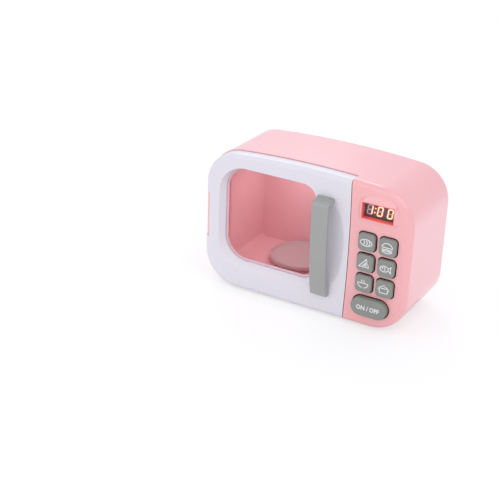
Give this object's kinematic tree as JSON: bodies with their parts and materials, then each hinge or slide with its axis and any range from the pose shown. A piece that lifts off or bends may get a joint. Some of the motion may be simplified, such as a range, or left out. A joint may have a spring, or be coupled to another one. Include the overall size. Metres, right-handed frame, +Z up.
{
  "type": "toy microwave oven",
  "caption": "Toy microwave oven with a rounded body, hinged window door with bow handle, LED clock, sprung keys and a geared turntable.",
  "frame": {"origin": "centre of the overall box on the plane that the feet rest on", "axes": "+X to the right seen from the front, +Y from the door to the back, +Z up"},
  "size_m": [0.254, 0.1182, 0.1702],
  "materials": {
    "pink_plastic": "satin moulded plastic",
    "white_plastic": "satin moulded plastic",
    "grey_plastic": "satin moulded plastic",
    "tinted_window": "clear tinted plastic",
    "cavity_plastic": "smooth moulded plastic",
    "red_plastic": "translucent red plastic",
    "black_plastic": "fine-grained moulded plastic",
    "led_lit": "glowing LED segments",
    "led_unlit": "clear unlit LED segments",
    "circuit_board": "solder-masked board",
    "steel": "zinc-plated steel",
    "brass": "plain brass",
    "rubber": "moulded rubber",
    "gear_nylon": "natural nylon",
    "turntable_plastic": "smooth moulded plastic",
    "cell_jacket": "printed cell jacket",
    "speaker_paper": "pressed paper",
    "lead_jacket": "soft wire insulation"
  },
  "bodies": {
    "housing": {"battery_box": "black_plastic", "battery_cells": "cell_jacket", "battery_contacts": "steel", "battery_door": "pink_plastic", "battery_door_screw": "steel", "battery_leads": "lead_jacket", "cavity_liner": "cavity_plastic", "control_board": "circuit_board", "control_board_screws": "steel", "display_frame": "red_plastic", "drive_motor": "steel", "foot_front_left": "rubber", "foot_front_right": "rubber", "foot_rear_left": "rubber", "foot_rear_right": "rubber", "gear_axles": "steel", "gearbox_base": "black_plastic", "gearbox_base_screws": "steel", "gearbox_cover": "black_plastic", "gearbox_cover_screws": "steel", "hinge_pin_lower": "steel", "hinge_pin_upper": "steel", "key_switches": "black_plastic", "led_display": "black_plastic", "led_segments_lit": "led_lit", "led_segments_unlit": "led_unlit", "liner_screws": "steel", "main_housing": "pink_plastic", "motor_leads": "lead_jacket", "power_switch_body": "black_plastic", "rear_cover": "pink_plastic", "rear_cover_screws": "steel", "speaker": "black_plastic", "speaker_cone": "speaker_paper", "speaker_leads": "lead_jacket"},
    "door": {"door_frame": "white_plastic", "door_inner_panel": "white_plastic", "door_screws": "steel", "window_pane": "tinted_window", "door_handle": "grey_plastic", "handle_screws": "steel"},
    "turntable": {"turntable_plate": "turntable_plastic", "turntable_coupler": "gear_nylon", "output_gear": "gear_nylon"},
    "second_gear": {"second_gear": "gear_nylon"},
    "first_gear": {"first_gear": "gear_nylon"},
    "motor_rotor": {"motor_shaft": "steel", "motor_pinion": "brass"},
    "power_switch_knob": {"power_switch_knob": "black_plastic"},
    "key_top_left": {"key_top_left": "grey_plastic"},
    "key_top_right": {"key_top_right": "grey_plastic"},
    "key_middle_left": {"key_middle_left": "grey_plastic"},
    "key_middle_right": {"key_middle_right": "grey_plastic"},
    "key_lower_left": {"key_lower_left": "grey_plastic"},
    "key_lower_right": {"key_lower_right": "grey_plastic"},
    "start_stop_key": {"start_stop_key": "grey_plastic"}
  },
  "joints": [
    {"name": "door_hinge", "type": "hinge", "parent": "housing", "child": "door", "pos_m": [-0.1213, -0.0379, 0.0588], "axis": [0, 0, -1], "range_deg": [0, 105]},
    {"name": "turntable_spin", "type": "hinge", "parent": "housing", "child": "turntable", "pos_m": [-0.029, 0.00975, 0.0113], "axis": [0, 0, 1], "continuous": true},
    {"name": "second_gear_spin", "type": "hinge", "parent": "housing", "child": "second_gear", "pos_m": [0.00718, 0.00975, 0.0113], "axis": [0, 0, 1], "continuous": true},
    {"name": "first_gear_spin", "type": "hinge", "parent": "housing", "child": "first_gear", "pos_m": [0.03733, 0.00975, 0.0113], "axis": [0, 0, 1], "continuous": true},
    {"name": "motor_spin", "type": "hinge", "parent": "housing", "child": "motor_rotor", "pos_m": [0.06245, 0.00975, 0.0113], "axis": [0, 0, 1], "continuous": true},
    {"name": "key_top_left_press", "type": "slide", "parent": "housing", "child": "key_top_left", "axis": [0, 1, 0], "range_m": [0, 0.0015], "stiffness_N_per_m": 300},
    {"name": "key_top_right_press", "type": "slide", "parent": "housing", "child": "key_top_right", "axis": [0, 1, 0], "range_m": [0, 0.0015], "stiffness_N_per_m": 300},
    {"name": "key_middle_left_press", "type": "slide", "parent": "housing", "child": "key_middle_left", "axis": [0, 1, 0], "range_m": [0, 0.0015], "stiffness_N_per_m": 300},
    {"name": "key_middle_right_press", "type": "slide", "parent": "housing", "child": "key_middle_right", "axis": [0, 1, 0], "range_m": [0, 0.0015], "stiffness_N_per_m": 300},
    {"name": "key_lower_left_press", "type": "slide", "parent": "housing", "child": "key_lower_left", "axis": [0, 1, 0], "range_m": [0, 0.0015], "stiffness_N_per_m": 300},
    {"name": "key_lower_right_press", "type": "slide", "parent": "housing", "child": "key_lower_right", "axis": [0, 1, 0], "range_m": [0, 0.0015], "stiffness_N_per_m": 300},
    {"name": "start_stop_key_press", "type": "slide", "parent": "housing", "child": "start_stop_key", "axis": [0, 1, 0], "range_m": [0, 0.0015], "stiffness_N_per_m": 300},
    {"name": "power_switch_slide", "type": "slide", "parent": "housing", "child": "power_switch_knob", "axis": [1, 0, 0], "range_m": [0, 0.004]}
  ],
  "couplings": [
    {"joint": "second_gear_spin", "follows": "turntable_spin", "ratio": -5},
    {"joint": "first_gear_spin", "follows": "turntable_spin", "ratio": 20},
    {"joint": "motor_spin", "follows": "turntable_spin", "ratio": -80}
  ]
}
